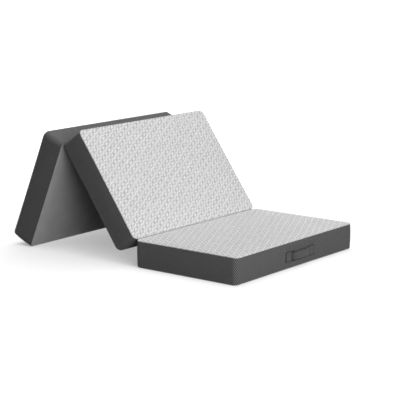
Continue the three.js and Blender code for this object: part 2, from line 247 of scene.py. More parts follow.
# A section has its place, the number of sections before it, the draw, lower edge and bulge of each wall
# (+X, far, -X, near), the crown of its underside, and the seed of its wanders
Section = namedtuple("Section", "name place before draws edges bulges crown seed")
drawn, straight = side_draw, 0.0
full, tight = bottom_edge_radius, tight_edge_radius
sections = [
    Section("flat", flat_place, 0, (drawn, straight, straight, drawn), (full, tight, full, tight),
            (wall_bulge, 0, 0, wall_bulge), 0.0, 11),
    Section("middle", middle_place, 1, (straight, straight, straight, drawn), (full, tight, tight, tight),
            (0, 0, 0, wall_bulge), bottom_crown, 23),
    Section("end", end_place, 2, (straight, straight, drawn, drawn), (tight, tight, full, tight),
            (0, 0, wall_bulge, wall_bulge), bottom_crown, 37),
]


# Meshes
def columns(*parts):
    """Grids, rows or single values as the columns of one table of points."""
    return np.column_stack([part.ravel() for part in np.broadcast_arrays(*parts)])


def added(name, data):
    made = bpy.data.objects.new(name, data)
    bpy.context.scene.collection.objects.link(made)
    return made


class Plan:
    """A grid that fills a rounded plan. Its outer loop runs round the walls, counter-clockwise."""

    def __init__(self, step, marks=(), size=(length, width), radius=plan_radius,
                 inner_radius=inner_plan_radius):
        self.size = np.array(size)
        self.radius = radius
        self.inner_radius = inner_radius
        self.corner = np.linspace(0, 1, max(3, round(radius / step)) + 1)
        self.along = self.shares(size[0], step, marks)
        self.across = self.shares(size[1], step, ())
        x, y = self.grid(0.0)
        ids = np.arange(x.size).reshape(x.shape)
        self.loop = np.concatenate([ids[-1, :-1], ids[:0:-1, -1], ids[0, :0:-1], ids[:-1, 0]])
        self.base = columns(x, y)[self.loop]
        inner = np.abs(self.base) - (self.size / 2 - radius)
        normal = np.sign(self.base) * np.where(inner > 0, inner, 0)
        self.normals = normal / np.linalg.norm(normal, axis=1)[:, None]
        steps = np.linalg.norm(np.roll(self.base, -1, 0) - self.base, axis=1)
        self.around = np.concatenate([[0], np.cumsum(steps[:-1])])
        self.perimeter = steps.sum()
        self.quarter = np.arctan2(self.normals[:, 1], self.normals[:, 0]) / (math.pi / 2) % 4

    def shares(self, size, step, marks):
        run = size - 2 * self.radius
        even = np.linspace(0, 1, round(run / step) + 1)
        return np.unique(np.concatenate([even, [0.5 + mark / run for mark in marks]]))

    def axis(self, half, radius, shares):
        low = radius * self.corner - half
        middle = (half - radius) * (2 * shares[1:-1] - 1)
        high = half - radius + radius * self.corner
        return np.concatenate([low, middle, high])

    def grid(self, inset):
        """The grid's points in x and y, where the plan is moved in by an inset."""
        radius = max(self.radius - inset, self.inner_radius)
        half = self.size / 2 - inset
        points = np.array(np.meshgrid(self.axis(half[0], radius, self.along),
                                      self.axis(half[1], radius, self.across), indexing="ij"))
        half = half[:, None, None]
        into = np.clip((np.abs(points) - half + radius) / radius, 0, 1)
        into_x, into_y = into
        more = np.maximum(into.max(0), tiny)
        angle = math.pi / 4 * np.where(into_x >= into_y, into_y / more, 2 - into_x / more)
        round_points = half - radius + radius * more * np.array([np.cos(angle), np.sin(angle)])
        return np.where((into > tiny).all(0), np.sign(points) * round_points, points)

    def by_side(self, values):
        """Values of the four walls along the loop, with the corners in between."""
        return np.interp(self.quarter, range(5), [*values, values[0]])

    def ring(self, inset, draws):
        """The loop moved in by an inset, with the walls drawn in between their corners."""
        if not np.ndim(inset) and inset > self.radius - self.inner_radius:
            loop = columns(*self.grid(inset))[self.loop]
        else:
            loop = self.base - self.normals * np.reshape(inset, (-1, 1))
        bow = np.clip(1 - (self.base / (self.size / 2 - self.radius)) ** 2, 0, 1)
        across = np.where(np.abs(self.normals[:, 0]) > 0.5, bow[:, 1], bow[:, 0])
        return loop - self.normals * (self.by_side(draws) * across)[:, None]


def drawn_in(section, x, y):
    """A face's points, moved with the draw of the walls, which fades towards the middle of the face."""
    points = np.array([x, y])
    half = np.array([length, width])[:, None, None] / 2
    draws = [np.where(part > 0, *section.draws[k::2]) for k, part in enumerate(points)]
    bow = np.clip(1 - (points / (half - plan_radius)) ** 2, 0, 1)[::-1]
    return points - np.sign(points) * draws * bow * smooth_step(np.abs(points), half - draw_reach, half)


def crown_at(crown, x, y):
    """The crown over a face: it rises from every wall over the crown's run."""
    for part, size in ((x, length), (y, width)):
        crown = crown * np.sin(np.clip((size / 2 - np.abs(part)) / crown_run, 0, 1) * math.pi / 2)
    return crown


def bridged(below, above):
    """The faces between loops of points and the loops above them."""
    return np.stack([below, np.roll(below, -1, -1), np.roll(above, -1, -1), above], -1).reshape(-1, 4)


class Skin:
    """Collects one closed piece's points, faces and cloth coordinates, loop by loop from its underside up."""

    def __init__(self, plan, draws=(0, 0, 0, 0)):
        self.plan = plan
        self.draws = draws
        self.points, self.cloth, self.quads, self.caps = [], [], [], []
        self.count = 0
        self.first = self.below = None

    def add(self, points, cloth):
        self.points.append(points)
        self.cloth.append(cloth)
        self.count += len(points)
        return np.arange(self.count - len(points), self.count)

    def join(self, above):
        """Faces from the last loop up to this one, which is then the last."""
        if self.below is None:
            self.first = above
        else:
            self.quads.append(bridged(self.below, above))
        self.below = above

    def ring(self, inset, z, cloth, crown=0.0):
        x, y = self.plan.ring(inset, self.draws).T
        self.join(self.add(columns(x, y, z + crown_at(crown, x, y)), cloth))

    def face(self, x, y, z, cloth, up):
        """A whole face: the underside that the loops start from, or the top that they end at."""
        ids = self.add(columns(x, y, z), cloth).reshape(x.shape)
        quads = np.stack([ids[:-1, :-1], ids[1:, :-1], ids[1:, 1:], ids[:-1, 1:]], -1).reshape(-1, 4)
        self.quads.append(quads if up else quads[:, ::-1])
        self.join(ids.ravel()[self.plan.loop])

    def piece(self, name, place, body, material, node, slot, wrap_at=None):
        points, quads, cloth = (np.concatenate(part) for part in (self.points, self.quads, self.cloth))
        made = mesh_piece(name, points, quads, self.caps, material, cloth, wrap_at)
        made.data.transform(place)
        return dressed(made, body, node)


def face_start(plan, section, inset):
    """A new skin, the points of a section's face, drawn in, and the cloth coordinates of face and rim."""
    x, y = plan.grid(inset)
    cloth = columns(x + half_pitch * (1 - 2 * section.before), y)
    return Skin(plan, section.draws), *drawn_in(section, x, y), cloth, cloth[plan.loop]


def dressed(made, body, node=None):
    """Puts a piece on its body. Where it stands for a node, it replaces that."""
    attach(made, body)
    if node:
        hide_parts(node)
    return made


def mesh_piece(name, points, quads, caps, material, cloth=None, wrap_at=None):
    """A smooth mesh object from points, quads and caps, with its cloth coordinates as a UV map."""
    mesh = bpy.data.meshes.new(name)
    corners = np.concatenate([quads.ravel(), *caps]).astype(np.int32)
    sizes = np.concatenate([np.full(len(quads), 4), [len(cap) for cap in caps]]).astype(np.int32)
    starts = np.concatenate([[0], np.cumsum(sizes)[:-1]]).astype(np.int32)
    mesh.vertices.add(len(points))
    mesh.vertices.foreach_set("co", np.asarray(points, np.float32).ravel())
    mesh.loops.add(len(corners))
    mesh.loops.foreach_set("vertex_index", corners)
    mesh.polygons.add(len(starts))
    mesh.polygons.foreach_set("loop_start", starts)
    mesh.update(calc_edges=True)
    if cloth is not None:
        uv = cloth[corners].copy()
        if wrap_at:
            quad_u = uv[: quads.size, 0].reshape(-1, 4)
            split = np.ptp(quad_u, axis=1) > wrap_at / 2
            quad_u[split] += np.where(quad_u[split] < wrap_at / 2, wrap_at, 0)
        layer = mesh.uv_layers.new(name="cloth")
        layer.uv.foreach_set("vector", uv.astype(np.float32).ravel())
    mesh.shade_smooth()
    mesh.materials.append(material)
    return added(name, mesh)


def tubes(name, place, rings, material, cloth=None, wrap_at=None):
    """Closed bodies, each through its own rings of points and capped at both ends, turned outwards."""
    ids = np.arange(rings[..., 0].size).reshape(rings.shape[:-1])
    caps = [*ids[:, 0, ::-1], *ids[:, -1]]
    faces = bridged(ids[:, :-1], ids[:, 1:])
    made = mesh_piece(name, rings.reshape(-1, 3), faces, caps, material, cloth, wrap_at)
    made.data.transform(place)
    shape = bmesh.new()
    shape.from_mesh(made.data)
    bmesh.ops.recalc_face_normals(shape, faces=shape.faces)
    shape.to_mesh(made.data)
    shape.free()
    return made


def ribbon(name, place, profile, run, steps, material):
    """A strip with a closed profile in x and z, run along y."""
    x, y = np.meshgrid(profile[:, 0], np.linspace(-run / 2, run / 2, steps + 1))
    edges = np.linalg.norm(np.roll(profile, -1, 0) - profile, axis=1)
    arc = np.concatenate([[0], np.cumsum(edges[:-1])])
    rings = np.stack(np.broadcast_arrays(x, y, profile[:, 1]), -1)
    return tubes(name, place, rings[None], material, columns(arc, y), edges.sum())


band_end_bulge = 0.35


def banded(line, thickness):
    """The closed profile of a band of even thickness along a line in a plane, with rounded ends."""
    ahead = np.gradient(line, axis=0)
    ahead /= np.linalg.norm(ahead, axis=1)[:, None]
    side = np.stack([-ahead[:, 1], ahead[:, 0]], 1) * thickness / 2
    bulge = band_end_bulge * thickness

    def end(k, turn):
        return [line[k] + turn * (share * side[k] + bulge * ahead[k]) for share in (0.5, -0.5)]

    return np.concatenate([line + side, end(-1, 1), (line - side)[::-1], end(0, -1)])


# A thread's rings: where they stand along it, and how full they are
thread_shares = (-1.0, -0.85, -0.45, 0.0, 0.45, 0.85, 1.0)
thread_swells = (0.35, 0.8, 1.0, 1.0, 1.0, 0.8, 0.35)
thread_sides = 6
thread_sink = 0.3


def stitches(name, place, centres, ahead, normals, stitch, material, sink=thread_sink):
    """Many threads, each along its own direction, with its ends sunk into the cloth."""
    run, wide, high = stitch
    ahead, normals = np.array(ahead), np.array(normals)
    side = np.cross(normals, ahead)
    rings = np.empty((len(centres), len(thread_shares), thread_sides, 3))
    for k, (share, swell) in enumerate(zip(thread_shares, thread_swells)):
        middle = centres + ahead * (share * run / 2) - normals * (high * sink * 4 * share ** 4)
        for m in range(thread_sides):
            angle = m / thread_sides * math.tau
            out = side * (wide * math.cos(angle)) + normals * (high * math.sin(angle))
            rings[:, k, m] = middle + swell * out
    return tubes(name, place, rings, material)


def evenly(run, pitch):
    """Even places along a run, about a pitch apart, from its middle."""
    count = round(run / pitch)
    return (np.arange(count) + 0.5) / count * run - run / 2


def spaced(points, pitch, closed=False):
    """Even places along a line through points, with the direction at each."""
    line = np.concatenate([points, points[:1]]) if closed else points
    steps = np.linalg.norm(np.diff(line, axis=0), axis=1)
    run = np.concatenate([[0], np.cumsum(steps)])
    at = run[-1] / 2 + evenly(run[-1], pitch)

    def places(shift):
        return np.stack([np.interp(at + shift, run, part) for part in line.T], 1)

    near = 0.3 * pitch
    ahead = places(near) - places(-near)
    return places(0.0), ahead / np.linalg.norm(ahead, axis=1)[:, None]


# Materials
def rgba(colour):
    return (*colour, 1) if isinstance(colour, tuple) else colour


class Nodes:
    """A tree of nodes, with a short call for each kind."""

    def __init__(self, tree):
        self.tree = tree

    def put(self, socket, value):
        if isinstance(value, bpy.types.NodeSocket):
            self.tree.links.new(value, socket)
        else:
            socket.default_value = value

    def node(self, kind, inputs=None, output=0, **settings):
        made = self.tree.nodes.new("ShaderNode" + kind)
        for key, value in settings.items():
            setattr(made, key, value)
        for key, value in (inputs or {}).items():
            self.put(made.inputs[key], value)
        return made.outputs[output]

    def math(self, operation, *values):
        return self.node("Math", dict(enumerate(values)), operation=operation)

    def ramp(self, value, low, high, to_low=0.0, to_high=1.0, kind="SMOOTHSTEP"):
        inputs = dict(enumerate((value, low, high, to_low, to_high)))
        return self.node("MapRange", inputs, interpolation_type=kind)

    def place(self):
        return self.node("TexCoord", output="Object")

    def ray(self, kind):
        return self.node("LightPath", output=f"Is {kind} Ray")

    def seen(self):
        """1 for what the camera sees, straight or in a mirror, and 0 for what lights other things."""
        return self.math("MAXIMUM", self.ray("Camera"), self.ray("Glossy"))


class Weave(Nodes):
    """A material's nodes, round its own shader."""

    def __init__(self, name, roughness, sheen=0.0, sheen_roughness=0.5, metallic=0.0, specular=0.5):
        self.material = bpy.data.materials.new(name)
        self.material.use_nodes = True
        super().__init__(self.material.node_tree)
        self.shader = self.tree.nodes["Principled BSDF"].inputs
        values = {"Roughness": roughness, "Sheen Weight": sheen, "Sheen Roughness": sheen_roughness,
                  "Metallic": metallic, "Specular IOR Level": specular}
        for socket, value in values.items():
            self.shader[socket].default_value = value

    def cloth(self):
        """The cloth coordinates, as one vector and as two lengths."""
        uv = self.node("UVMap", uv_map="cloth")
        return uv, self.node("SeparateXYZ", {0: uv}, output=0), self.node("SeparateXYZ", {0: uv}, output=1)

    def noise(self, vector, scale, detail=2.0):
        return self.node("TexNoise", {"Vector": vector, "Scale": scale, "Detail": detail})

    def cloud(self, vector, scale, detail, low, high, dark, light):
        """A factor that drifts from dark to light as a noise does."""
        return self.ramp(self.noise(vector, scale, detail), low, high, dark, light)

    def calmed(self, value, contrast):
        """A value from 0 to 1, drawn towards 0.5 where the contrast is under 1."""
        return self.math("MULTIPLY_ADD", self.math("SUBTRACT", value, 0.5), contrast, 0.5)

    def mix(self, factor, first, second):
        return self.node("Mix", {0: factor, 6: rgba(first), 7: rgba(second)}, output=2, data_type="RGBA")

    def shade(self, colour, *factors):
        """A colour darkened or lightened by each factor."""
        for factor in factors:
            grey = self.node("CombineXYZ", {0: factor, 1: factor, 2: factor})
            colour = self.node("Mix", {0: 1.0, 6: rgba(colour), 7: grey}, output=2, data_type="RGBA",
                               blend_type="MULTIPLY")
        return colour

    def finish(self, colour, bump, bump_height, roughness=None):
        """The material, with its colour, its relief and where it is given a roughness that varies."""
        self.put(self.shader["Base Color"], colour)
        if roughness is not None:
            self.put(self.shader["Roughness"], roughness)
        normal = self.node("Bump", {"Height": bump, "Distance": bump_height, "Strength": 1.0})
        self.put(self.shader["Normal"], normal)
        return self.material


# Colours of the fabrics and fittings, linear
stroke_colour = (0.81, 0.81, 0.81)
ground_colour = (0.61, 0.61, 0.612)
# Painted shade: how dark the knit is painted in the sunken hollows between its strokes
hollow_painted_shade = 0.70
calm_contrast = 0.6
mesh_light = (0.183, 0.183, 0.184)
mesh_dark = (0.038, 0.038, 0.039)
bottom_colour = (0.41, 0.411, 0.41)
strap_colour = (0.068, 0.068, 0.07)
thread_colour = (0.085, 0.085, 0.088)
crease_thread_colour = (0.07, 0.07, 0.073)
# Painted shade: the tape in the top fold is given a grey that stands in for the shade in the crease
crease_painted_shade_colour = (0.36, 0.36, 0.365)
comfort_colour = (0.66, 0.74, 0.80)
support_colour = (0.84, 0.79, 0.62)
tape_colour = (0.030, 0.030, 0.032)
coil_colour = (0.022, 0.022, 0.024)
metal_colour = (0.10, 0.10, 0.108)

# Fine textile scales
wale = 0.0013
course = 0.0010
mesh_hole = 0.0021
weave_pitch = 0.0007
rib_pitch = 0.0016
# Painted shadow: a dark band along the strap's edges stands in for the shade round the patches and the grip
edge_shadow_width = 0.0075
edge_shadow_fade = 0.001
edge_shadow_shade = 0.14

# Clouds of shade. Each is a noise's scale and detail, the range of it that counts, and its darkest and
# lightest shade. The knit has layers of them, from its mottle to its fuzz
cloth_drift = (14.0, 4.0, 0.25, 0.75, 0.93, 1.05)
strap_drift = (40.0, 3.0, 0.3, 0.7, 0.88, 1.08)
foam_drift = (12.0, 3.0, 0.3, 0.7, 0.93, 1.03)
mesh_ribs = (1.0, 2.0, 0.3, 0.7, 0.985, 1.015)
mesh_rib_scale = (60.0, 3.0, 1.0)
knit_contrast = (13.0, 2.0, 0.35, 0.65, 0.6, 1.1)
knit_layers = (
    (42.0, 2.0, 0.3, 0.7, 0.93, 1.04),
    (125.0, 2.0, 0.3, 0.7, 0.88, 1.08),
    (210.0, 3.0, 0.25, 0.75, 0.86, 1.08),
    (9.0, 3.0, 0.3, 0.7, 0.97, 1.0),
    (900.0, 3.0, 0.3, 0.75, 0.94, 1.03),
)


def knit_material():
    """White strokes on a greyer ground, over fine knitted loops, with painted shade in the hollows between
    the strokes.
    """
    weave = Weave("knit", roughness=0.92, sheen=0.12, specular=0.2)
    uv, along, across = weave.cloth()
    inside = strokes(weave.math, along, across)
    stroke = weave.calmed(weave.ramp(inside, -0.2, 0.25), weave.cloud(uv, *knit_contrast))
    # Painted shade, darkest in the hollows farthest from the strokes
    hollow = weave.ramp(inside, -2.0, -0.5, hollow_painted_shade, 1.0)
    layers = [weave.cloud(uv, *layer) for layer in knit_layers]
    colour = weave.shade(weave.mix(stroke, ground_colour, stroke_colour), hollow, *layers)
    lean = weave.math("ADD", along, weave.math("PINGPONG", across, wale / 2))
    loops = weave.math("MULTIPLY_ADD", wave(weave.math, lean, course), 0.5, wave(weave.math, across, wale))
    return weave.finish(colour, loops, bump_height=0.00008)


def border_material(name, cell, contrast):
    """Dark mesh: light lozenges on a dark ground, pierced by rows of fine holes."""
    weave = Weave(name, roughness=0.82, sheen=0.05, sheen_roughness=0.4, specular=0.25)
    uv, around, up = weave.cloth()
    clear = weave.cloud(uv, 5.0, 2.0, 0.35, 0.65, 0.7 * contrast, contrast)
    raised = weave.calmed(weave.ramp(lattice(weave.math, around, up, cell, dent_height), -0.6, 0.6), clear)
    holes = lattice(weave.math, around, up, mesh_hole, mesh_hole)
    ribs = weave.node("VectorMath", {0: uv, 1: mesh_rib_scale}, operation="MULTIPLY")
    colour = weave.shade(weave.mix(raised, mesh_dark, mesh_light), weave.ramp(holes, -0.9, 0.3, 0.72, 1.08),
                         weave.cloud(ribs, *mesh_ribs))
    return weave.finish(colour, holes, bump_height=0.00018)


def cloth_material(name, colour, roughness, specular, sheen, bump_height):
    """A plain weave: over and under, with a slow drift of shade."""
    weave = Weave(name, roughness=roughness, sheen=sheen, specular=specular)
    uv, first, second = weave.cloth()
    over = lattice(weave.math, first, second, weave_pitch, weave_pitch)
    shaded = weave.shade(colour, weave.cloud(uv, *cloth_drift), weave.ramp(over, -1.0, 1.0, 0.92, 1.05))
    return weave.finish(shaded, over, bump_height)


def strap_material(name, half_height, half_length=None):
    """Webbing: ribs across the strap, a fine twill on them, and painted shadow: dark bands along the edges
    that are given.
    """
    weave = Weave(name, roughness=0.7, sheen=0.2, sheen_roughness=0.35, specular=0.4)
    uv, first, second = weave.cloth()
    twill = wave(weave.math, weave.math("ADD", first, second), weave_pitch)
    relief = weave.math("MULTIPLY_ADD", twill, 0.35, wave(weave.math, first, rib_pitch))
    # Painted shadow: dark bands along the strap's edges
    edge_shadows = []
    for part, half in ((second, half_height), (first, half_length)):
        if half:
            start = half - edge_shadow_width
            edge_shadows.append(weave.ramp(weave.math("ABSOLUTE", part), start, start + edge_shadow_fade, 1.0, edge_shadow_shade))
    shaded = weave.shade(strap_colour, weave.cloud(uv, *strap_drift),
                         weave.ramp(relief, -1.3, 1.3, 0.8, 1.12), weave.math("MINIMUM", edge_shadows[0], edge_shadows[-1]))
    return weave.finish(shaded, relief, bump_height=0.00014)


def thread_material(name, colour):
    """Twisted thread."""
    weave = Weave(name, roughness=0.6, sheen=0.3, specular=0.4)
    twist = weave.node("TexWave", {"Vector": weave.place(), "Scale": 900.0, "Distortion": 0.6},
                       bands_direction="DIAGONAL")
    shaded = weave.shade(colour, weave.ramp(twist, 0.0, 1.0, 0.75, 1.15))
    return weave.finish(shaded, twist, bump_height=0.00005)


def foam_material(name, colour, cells):
    """Cut foam: open pores over a soft drift of colour."""
    weave = Weave(name, roughness=0.95, specular=0.2)
    place = weave.place()
    pores = weave.node("TexVoronoi", {"Vector": place, "Scale": cells})
    shaded = weave.shade(colour, weave.ramp(pores, 0.0, 0.5, 0.72, 1.0), weave.cloud(place, *foam_drift))
    return weave.finish(shaded, pores, bump_height=0.0004)


def plastic_material(name, colour):
    """Matt plastic with a fine speckle."""
    weave = Weave(name, roughness=0.5)
    speckle = weave.noise(weave.place(), 700.0)
    shaded = weave.shade(colour, weave.ramp(speckle, 0.3, 0.7, 0.85, 1.15))
    roughness = weave.ramp(speckle, 0.3, 0.7, 0.42, 0.62)
    return weave.finish(shaded, speckle, bump_height=0.00004, roughness=roughness)


def metal_material():
    """Dark plated zinc, a little brighter and rougher where hands have rubbed it."""
    weave = Weave("zip_metal", roughness=0.35, metallic=1.0)
    place = weave.place()
    rub = weave.noise(place, 260.0, 4.0)
    shaded = weave.shade(metal_colour, weave.ramp(rub, 0.35, 0.7, 0.9, 1.3))
    roughness = weave.ramp(rub, 0.3, 0.7, 0.28, 0.5)
    return weave.finish(shaded, weave.noise(place, 2500.0), bump_height=0.00002, roughness=roughness)


# The recess's own edges are marks in the border's grid
recess_marks = [sign * (recess_half + lip) for sign in (-1, 1) for lip in (0, recess_lip)]
knit_plan = Plan(knit_step)
border_plan = Plan(mesh_step, recess_marks)
cloth_plan = Plan(cloth_step)
foam_plan = Plan(foam_step)
dent_cell = border_plan.perimeter / round(border_plan.perimeter / dent_width)

knit = knit_material()
border_mesh = border_material("border_mesh", dent_cell, 1.0)
calm_mesh = border_material("calm_mesh", dent_cell, calm_contrast)
bottom_cloth = cloth_material("bottom_cloth", bottom_colour, 0.7, 0.15, 0.1, 0.00006)
patch_strap = strap_material("patch_strap", handle_height / 2, patch_length / 2)
grip_strap = strap_material("grip_strap", grip_height / 2)
thread = thread_material("thread", thread_colour)
crease_thread = thread_material("crease_thread", crease_thread_colour)
# The crease tape's grey is painted shade of the crease
crease_tape = cloth_material("crease_tape", crease_painted_shade_colour, 0.85, 0.3, 0.1, 0.00006)
comfort_foam = foam_material("comfort_foam", comfort_colour, 900.0)
support_foam = foam_material("support_foam", support_colour, 650.0)
zip_tape = cloth_material("zip_tape", tape_colour, 0.8, 0.3, 0.2, 0.00012)
zip_coil = plastic_material("zip_coil", coil_colour)
zip_metal = metal_material()


# Covers and foams
def knit_panel(section):
    """The white top: a crowned, quilted knit whose edge rolls down to the border's seam."""
    skin, x, y, cloth, rim = face_start(knit_plan, section, top_edge_radius)
    underside = height - top_panel_thickness
    for inset in knit_inner_rings:
        skin.ring(inset, underside, rim, top_crown)
    skin.caps.append(skin.first[::-1])
    rolls = [(seam_depth, 0.0), (seam_depth / 4, seam_width / 2)]
    for angle in np.arange(edge_points) / edge_points * math.pi / 2:
        rise = top_panel_thickness - top_edge_radius * (1 - math.sin(angle))
        rolls.append((top_edge_radius * (1 - math.cos(angle)), rise))
    arc = top_edge_radius * math.pi / 2
    for inset, rise in rolls:
        out = arc * (1 - inset / top_edge_radius) if rise > seam_width else arc + top_edge_radius / 4
        skin.ring(inset, underside + rise, rim + knit_plan.normals * out)
    inside = strokes(on_arrays, *cloth.T).reshape(x.shape)
    relief = knit_relief * (smooth_step(inside, -knit_ridge, knit_ridge) - 1)
    wander = soft_waves(x, y, knit_wander, section.seed)
    skin.face(x, y, height + crown_at(top_crown, x, y) + relief + wander, cloth, up=True)
    skin.piece(f"{section.name}_knit_top", section.place, section.name, knit, f"{section.name}_top_panel",
               "knit")


def lower_edge(plan, section, offset, share, shift=0.0, tuck=0.0):
    """The insets and heights of a loop on the lower edge, from 0 under the section to 1 on its wall."""
    angle = share * math.pi / 2
    edge = plan.by_side(section.edges)
    reach = np.maximum(edge - offset, 0)
    inset = edge - (reach - tuck) * math.sin(angle) - shift * math.cos(angle)
    rise = edge - (reach - tuck) * math.cos(angle) + shift * math.sin(angle)
    return inset, rise


def by_handle(section, plan, z):
    """1 on the wall behind the handle, where it is sewn flat, falling to 0 round it."""
    beside = np.abs(plan.base[:, 1] - handle_offset) - handle_length / 2
    beside = smooth_step(beside, handle_fade / 2, 0)
    half = handle_height / 2
    over = smooth_step(abs(z - handle_lift), half + handle_fade, half + handle_fade / 4)
    return beside * over * (plan.normals[:, 0] > 0.5) * (section.name == "flat")


def bulge_at(section, plan, z):
    """How far the filled walls swell out between their seams."""
    rise = np.clip((z - bottom_edge_radius) / (border_top - bottom_edge_radius), 0, 1)
    return plan.by_side(section.bulges) * np.sin(rise * math.pi) * (1 - by_handle(section, plan, z))


def border(section):
    """The dark mesh band: dented in a staggered lattice, rolled in at both seams and round the zip."""
    plan = border_plan
    skin = Skin(plan, section.draws)
    edge = plan.by_side(section.edges)
    base = bottom_edge_radius
    in_zip = (plan.normals[:, 1] > 1 - tiny) & (np.abs(plan.base[:, 0]) < recess_half + recess_lip / 2)

    def band(inset, z):
        skin.ring(inset, z, columns(plan.around, z))

    band(*lower_edge(plan, section, 0.0, 0.5, seam_gap / 2, seam_depth))
    band(*lower_edge(plan, section, 0.0, 0.5 + seam_share / 2, 0.0, seam_depth / 3))
    for share in np.linspace(0.5 + seam_share, 1, wall_edge_points):
        band(*lower_edge(plan, section, 0.0, share))
    lips = [zip_middle + sign * (recess_rise + lip) for sign in (-1, 1) for lip in (0, recess_lip)]
    rows = np.concatenate([np.arange(base + mesh_step, border_top - seam_width, mesh_step), lips,
                           [border_top - seam_width, border_top - seam_width / 3, border_top]])
    for row in np.unique(np.round(rows, 6)):
        z = row - (base - edge) * smooth_step(2 * base - row, 0, base)
        calm = smooth_step(border_top - z, seam_width, 4 * seam_width) * smooth_step(z - edge, 0.0, dent_fade)
        tuck = seam_depth * (1 - smooth_step(border_top - z, 0.0, seam_width)) ** 2
        relief = dent_depth * lattice(on_arrays, plan.around, z, dent_cell, dent_height)
        relief = calm * (relief + soft_waves(plan.around, z, mesh_wander, section.seed + 1))
        swell = bulge_at(section, plan, row) + relief * (1 - by_handle(section, plan, row))
        beside_zip = abs(row - zip_middle) < recess_rise + recess_lip / 2
        band(tuck - swell + recess_depth * in_zip * beside_zip, z)
    band(cover_wall, border_top)
    for share, shift in ((1.0, 0.0), (0.75, 0.0), (0.5, seam_gap / 2)):
        band(*lower_edge(plan, section, cover_wall, share, shift))
    skin.join(skin.first)
    mesh = border_mesh if section.name == "flat" else calm_mesh
    skin.piece(f"{section.name}_mesh_border", section.place, section.name, mesh, f"{section.name}_border",
               "border_mesh", plan.perimeter)


def bottom_cover(section):
    """The smooth grey underside: it wraps the rounded lower edge up to the border's seam."""
    plan = cloth_plan
    skin, x, y, cloth, rim = face_start(plan, section, bottom_edge_radius + bottom_rim)
    wander = soft_waves(x, y, bottom_wander, section.seed + 2) * (section.crown > 0)
    skin.face(x, y, wander - crown_at(section.crown, x, y), cloth, up=False)
    for share in np.linspace(0, 0.5 - seam_share, edge_points):
        out = bottom_edge_radius * (0.3 + share * math.pi / 2)
        skin.ring(*lower_edge(plan, section, 0.0, share), rim + plan.normals * out)
    folds = ((0.0, 0.5 - seam_share / 2, 0.0, seam_depth / 3), (0.0, 0.5, -seam_gap / 2, seam_depth),
             (cover_wall, 0.5, -seam_gap / 2), (cover_wall, 0.25), (cover_wall, 0.0))
    for fold in folds:
        skin.ring(*lower_edge(plan, section, *fold), rim + plan.normals * bottom_edge_radius * 1.2)
    for inset in bottom_inner_rings:
        skin.ring(inset, cover_wall, rim, -section.crown)
    skin.caps.append(skin.below)
    skin.piece(f"{section.name}_bottom_cover", section.place, section.name, bottom_cloth,
               f"{section.name}_bottom_panel", "bottom_cloth")


comfort_base = border_top - comfort_thickness
foam_inset = cover_wall + seam_gap


def foam(section, kind, low, high, low_crown, high_crown, edge_radius, material):
    """A block of foam, cut a little uneven, with its crown and its lower edge."""
    skin, x, y, cloth, rim = face_start(foam_plan, section, foam_inset + bottom_edge_radius)
    wander = (foam_wander[0] + soft_waves(x, y, foam_wander, section.seed + 3)) / 2
    skin.face(x, y, low - crown_at(low_crown, x, y) + wander, cloth, up=False)
    edge = np.minimum(edge_radius, foam_plan.by_side(section.edges)) - foam_inset
    edge = np.maximum(edge, foam_least_edge)
    for angle in np.linspace(0, math.pi / 2, edge_points):
        skin.ring(foam_inset + edge * (1 - math.sin(angle)), low + edge * (1 - math.cos(angle)), rim)
    for cut in (0, foam_cut_edge):
        skin.ring(foam_inset + cut, high - foam_cut_edge + cut, rim)
    skin.face(x, y, high + crown_at(high_crown, x, y) - wander, cloth, up=True)
    made = skin.piece(f"{section.name}_{kind}_layer", section.place, section.name, material,
                      f"{section.name}_{kind}_foam", f"{kind}_foam")


for section in sections:
    knit_panel(section)
    border(section)
    bottom_cover(section)
    foam(section, "comfort", comfort_base, border_top, 0.0, top_crown, 0.0, comfort_foam)
    foam(section, "support", foam_inset, comfort_base - seam_gap, section.crown, 0.0, bottom_edge_radius,
         support_foam)

# Stitches on the seams: their pitch and margin, and a stitch's length, half width and height
seam_pitch = 0.004
seam_margin = 0.0024
seam_stitch = (0.0027, 0.00032, 0.00022)


def seam_stitches(section):
    """Two rows of thread round the border, beside its upper and lower seams."""
    plan = border_plan
    upper = border_top - seam_margin
    share = 0.5 + seam_share + lower_row_share
    for row, inset, z, tilt in (("upper", -bulge_at(section, plan, upper), upper, math.pi / 2),
                                ("lower", *lower_edge(plan, section, 0.0, share), share * math.pi / 2)):
        line = columns(*plan.ring(inset, section.draws).T, z)
        centres, ahead = spaced(line, seam_pitch, closed=True)
        normals = np.cross(ahead, (0.0, 0.0, 1.0)) * math.sin(tilt) - np.array([0.0, 0.0, math.cos(tilt)])
        sewn = stitches(f"{section.name}_{row}_seam", section.place, centres, ahead, normals, seam_stitch,
                        thread)
        dressed(sewn, section.name)


for section in sections:
    seam_stitches(section)

# Folds: a strip of cloth joins two sections, sewn to both and creased between them
web_thickness = 0.001
web_depth = 0.009
web_top = 0.001
web_arch = 0.0005
web_run = width - 2 * plan_radius
bottom_rise = 0.0018
crease_pitch = 0.0048
crease_stitch = (0.0030, 0.0005, 0.00022)


